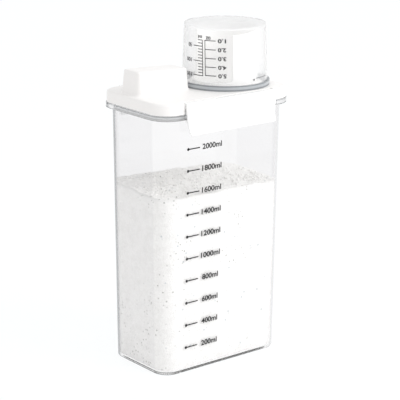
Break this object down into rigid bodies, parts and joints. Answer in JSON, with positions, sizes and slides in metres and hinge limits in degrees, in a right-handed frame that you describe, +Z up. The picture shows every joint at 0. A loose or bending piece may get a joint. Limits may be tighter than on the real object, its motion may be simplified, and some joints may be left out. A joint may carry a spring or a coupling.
{
  "type": "washing powder dispenser",
  "caption": "Clear upright box of washing powder with a latched lid, hump handle, pouring spout and a measuring cup upside down over it.",
  "frame": {"origin": "middle of the foot, on the ground", "axes": "+Z up, +X towards the spout and cup, -Y towards the printed front with the front latch"},
  "size_m": [0.1468, 0.1044, 0.2985],
  "materials": {
    "clear_plastic": "clear polished plastic",
    "cup_plastic": "clear polished plastic",
    "lid_plastic": "satin white",
    "latch_plastic": "gloss white",
    "spout_plastic": "satin white",
    "seal_rubber": "soft grey",
    "gasket_silicone": "soft pale grey",
    "powder": "fine grains, white with a few grey and blue ones"
  },
  "bodies": {
    "box": {"container": "clear_plastic", "washing_powder": "powder", "lid": "lid_plastic", "lid_gasket": "gasket_silicone", "pour_spout": "spout_plastic", "cup_seal": "seal_rubber"},
    "front_latch": {"front_latch": "latch_plastic"},
    "back_latch": {"back_latch": "latch_plastic"},
    "measuring_cup": {"measuring_cup": "cup_plastic"}
  },
  "joints": [
    {"name": "front_latch_hinge", "type": "hinge", "parent": "box", "child": "front_latch", "pos_m": [0, -0.0442, 0.2415], "axis": [-1, 0, 0], "range_deg": [0, 90]},
    {"name": "back_latch_hinge", "type": "hinge", "parent": "box", "child": "back_latch", "pos_m": [0, 0.0442, 0.2415], "axis": [1, 0, 0], "range_deg": [0, 90]},
    {"name": "cup_lift", "type": "slide", "parent": "box", "child": "measuring_cup", "axis": [0, 0, 1], "range_m": [0, 0.052]}
  ]
}
